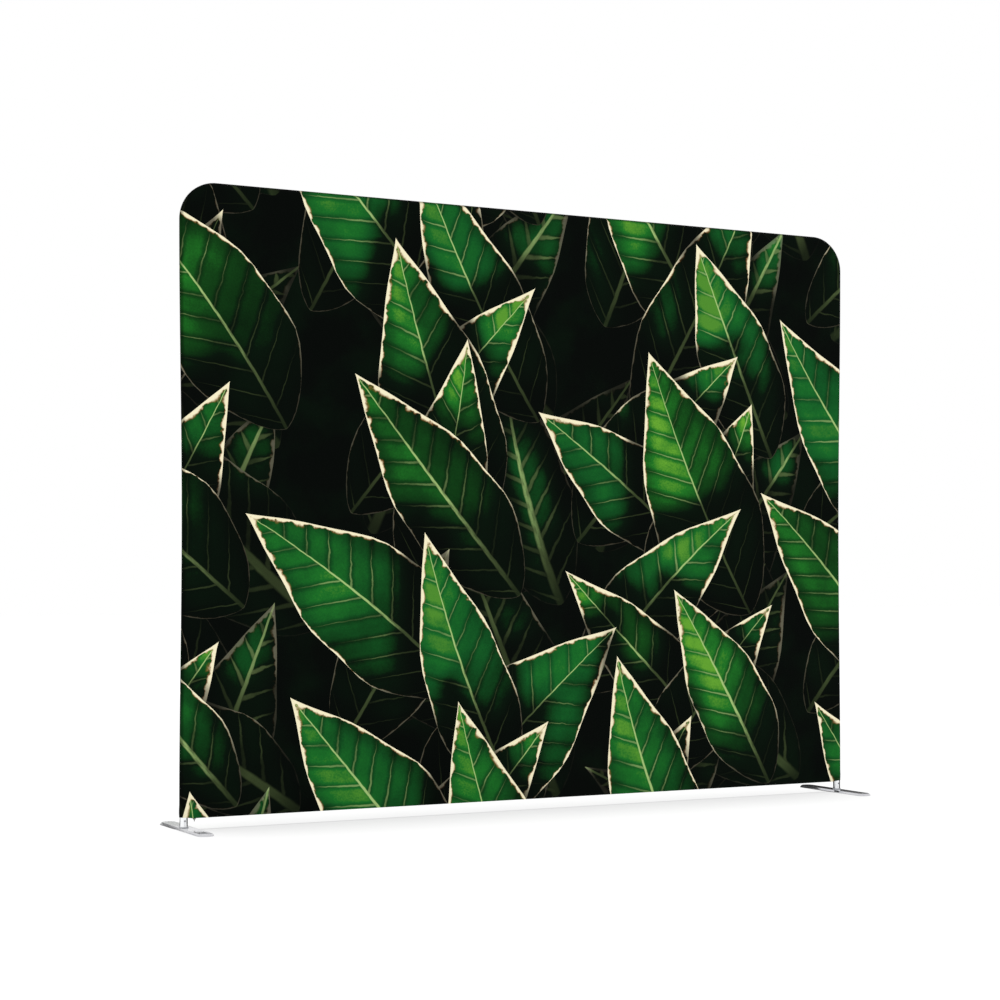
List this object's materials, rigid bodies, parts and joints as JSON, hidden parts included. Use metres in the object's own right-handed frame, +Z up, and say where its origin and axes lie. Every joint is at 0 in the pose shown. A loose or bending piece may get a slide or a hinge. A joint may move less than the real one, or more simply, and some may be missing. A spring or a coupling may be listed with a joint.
{
  "type": "fabric room divider",
  "caption": "Free-standing fabric room divider: a printed cover, zipped along its underside, over a round-cornered push-fit tube frame on flat swivelling feet.",
  "frame": {"origin": "on the floor, under the middle of the panel", "axes": "+X along the panel's width, to the right seen from the front; +Y from front to back; +Z up"},
  "size_m": [2.5104, 0.38, 1.992],
  "materials": {
    "tube_aluminium": "satin drawn tube",
    "sleeve_aluminium": "mill finish",
    "foot_steel": "bright plated steel",
    "small_steel": "zinc-plated steel",
    "black_plastic": "moulded, matte",
    "cover_fabric": "printed polyester knit, leaf greens with pale veins",
    "zip_tape": "black woven tape",
    "zip_coil": "black nylon coil",
    "zip_metal": "black coated zinc"
  },
  "bodies": {
    "frame": {"left_lower_upright": "tube_aluminium", "right_lower_upright": "tube_aluminium", "left_upper_upright": "tube_aluminium", "right_upper_upright": "tube_aluminium", "left_corner_tube": "tube_aluminium", "right_corner_tube": "tube_aluminium", "left_top_tube": "tube_aluminium", "middle_top_tube": "tube_aluminium", "right_top_tube": "tube_aluminium", "left_bottom_tube": "tube_aluminium", "middle_bottom_tube": "tube_aluminium", "right_bottom_tube": "tube_aluminium", "lower_centre_post": "tube_aluminium", "upper_centre_post": "tube_aluminium", "left_upright_sleeve": "sleeve_aluminium", "right_upright_sleeve": "sleeve_aluminium", "left_corner_lower_sleeve": "sleeve_aluminium", "right_corner_lower_sleeve": "sleeve_aluminium", "left_corner_upper_sleeve": "sleeve_aluminium", "right_corner_upper_sleeve": "sleeve_aluminium", "left_top_sleeve": "sleeve_aluminium", "right_top_sleeve": "sleeve_aluminium", "left_bottom_sleeve": "sleeve_aluminium", "right_bottom_sleeve": "sleeve_aluminium", "centre_post_sleeve": "sleeve_aluminium", "left_rail_connector": "black_plastic", "right_rail_connector": "black_plastic", "lower_post_saddle": "black_plastic", "upper_post_saddle": "black_plastic", "left_foot_screw": "small_steel", "right_foot_screw": "small_steel", "left_foot_spigot": "sleeve_aluminium", "right_foot_spigot": "sleeve_aluminium", "cover_front": "cover_fabric", "cover_back": "cover_fabric", "zip_tape_front": "zip_tape", "zip_tape_back": "zip_tape", "zip_coil_front": "zip_coil", "zip_coil_back": "zip_coil", "zip_left_stop": "zip_metal", "zip_right_stop": "zip_metal"},
    "left_foot": {"left_foot_plate": "foot_steel"},
    "right_foot": {"right_foot_plate": "foot_steel"},
    "slider": {"zip_slider": "zip_metal"},
    "pull": {"zip_pull": "zip_metal"},
    "left_upright_snap": {"left_upright_button": "small_steel"},
    "right_upright_snap": {"right_upright_button": "small_steel"},
    "left_corner_lower_snap": {"left_corner_lower_button": "small_steel"},
    "right_corner_lower_snap": {"right_corner_lower_button": "small_steel"},
    "left_corner_upper_snap": {"left_corner_upper_button": "small_steel"},
    "right_corner_upper_snap": {"right_corner_upper_button": "small_steel"},
    "left_top_snap": {"left_top_button": "small_steel"},
    "right_top_snap": {"right_top_button": "small_steel"},
    "left_bottom_snap": {"left_bottom_button": "small_steel"},
    "right_bottom_snap": {"right_bottom_button": "small_steel"},
    "centre_post_snap": {"centre_post_button": "small_steel"},
    "left_foot_snap": {"left_foot_button": "small_steel"},
    "right_foot_snap": {"right_foot_button": "small_steel"}
  },
  "joints": [
    {"name": "left_foot_swivel", "type": "hinge", "parent": "frame", "child": "left_foot", "pos_m": [-1.2367, 0, 0.004], "axis": [0, 0, 1], "range_deg": [-90, 90]},
    {"name": "right_foot_swivel", "type": "hinge", "parent": "frame", "child": "right_foot", "pos_m": [1.2367, 0, 0.004], "axis": [0, 0, 1], "range_deg": [-90, 90]},
    {"name": "zip_slide", "type": "slide", "parent": "frame", "child": "slider", "axis": [1, 0, 0], "range_m": [0, 2.4048]},
    {"name": "zip_pull_swing", "type": "hinge", "parent": "slider", "child": "pull", "pos_m": [-1.2024, 0, 0.0337], "axis": [0, 1, 0], "range_deg": [-85, 85]},
    {"name": "left_upright_press", "type": "slide", "parent": "frame", "child": "left_upright_snap", "axis": [-1, 0, 0], "range_m": [0, 0.004], "stiffness_N_per_m": 600, "springref_m": -0.002},
    {"name": "right_upright_press", "type": "slide", "parent": "frame", "child": "right_upright_snap", "axis": [1, 0, 0], "range_m": [0, 0.004], "stiffness_N_per_m": 600, "springref_m": -0.002},
    {"name": "left_corner_lower_press", "type": "slide", "parent": "frame", "child": "left_corner_lower_snap", "axis": [-1, 0, 0], "range_m": [0, 0.004], "stiffness_N_per_m": 600, "springref_m": -0.002},
    {"name": "right_corner_lower_press", "type": "slide", "parent": "frame", "child": "right_corner_lower_snap", "axis": [1, 0, 0], "range_m": [0, 0.004], "stiffness_N_per_m": 600, "springref_m": -0.002},
    {"name": "left_corner_upper_press", "type": "slide", "parent": "frame", "child": "left_corner_upper_snap", "axis": [0, 0, 1], "range_m": [0, 0.004], "stiffness_N_per_m": 600, "springref_m": -0.002},
    {"name": "right_corner_upper_press", "type": "slide", "parent": "frame", "child": "right_corner_upper_snap", "axis": [0, 0, 1], "range_m": [0, 0.004], "stiffness_N_per_m": 600, "springref_m": -0.002},
    {"name": "left_top_press", "type": "slide", "parent": "frame", "child": "left_top_snap", "axis": [0, 0, 1], "range_m": [0, 0.004], "stiffness_N_per_m": 600, "springref_m": -0.002},
    {"name": "right_top_press", "type": "slide", "parent": "frame", "child": "right_top_snap", "axis": [0, 0, 1], "range_m": [0, 0.004], "stiffness_N_per_m": 600, "springref_m": -0.002},
    {"name": "left_bottom_press", "type": "slide", "parent": "frame", "child": "left_bottom_snap", "axis": [0, 0, -1], "range_m": [0, 0.004], "stiffness_N_per_m": 600, "springref_m": -0.002},
    {"name": "right_bottom_press", "type": "slide", "parent": "frame", "child": "right_bottom_snap", "axis": [0, 0, -1], "range_m": [0, 0.004], "stiffness_N_per_m": 600, "springref_m": -0.002},
    {"name": "centre_post_press", "type": "slide", "parent": "frame", "child": "centre_post_snap", "axis": [-1, 0, 0], "range_m": [0, 0.004], "stiffness_N_per_m": 600, "springref_m": -0.002},
    {"name": "left_foot_press", "type": "slide", "parent": "frame", "child": "left_foot_snap", "axis": [0, 1, 0], "range_m": [0, 0.004], "stiffness_N_per_m": 600, "springref_m": -0.002},
    {"name": "right_foot_press", "type": "slide", "parent": "frame", "child": "right_foot_snap", "axis": [0, 1, 0], "range_m": [0, 0.004], "stiffness_N_per_m": 600, "springref_m": -0.002}
  ]
}
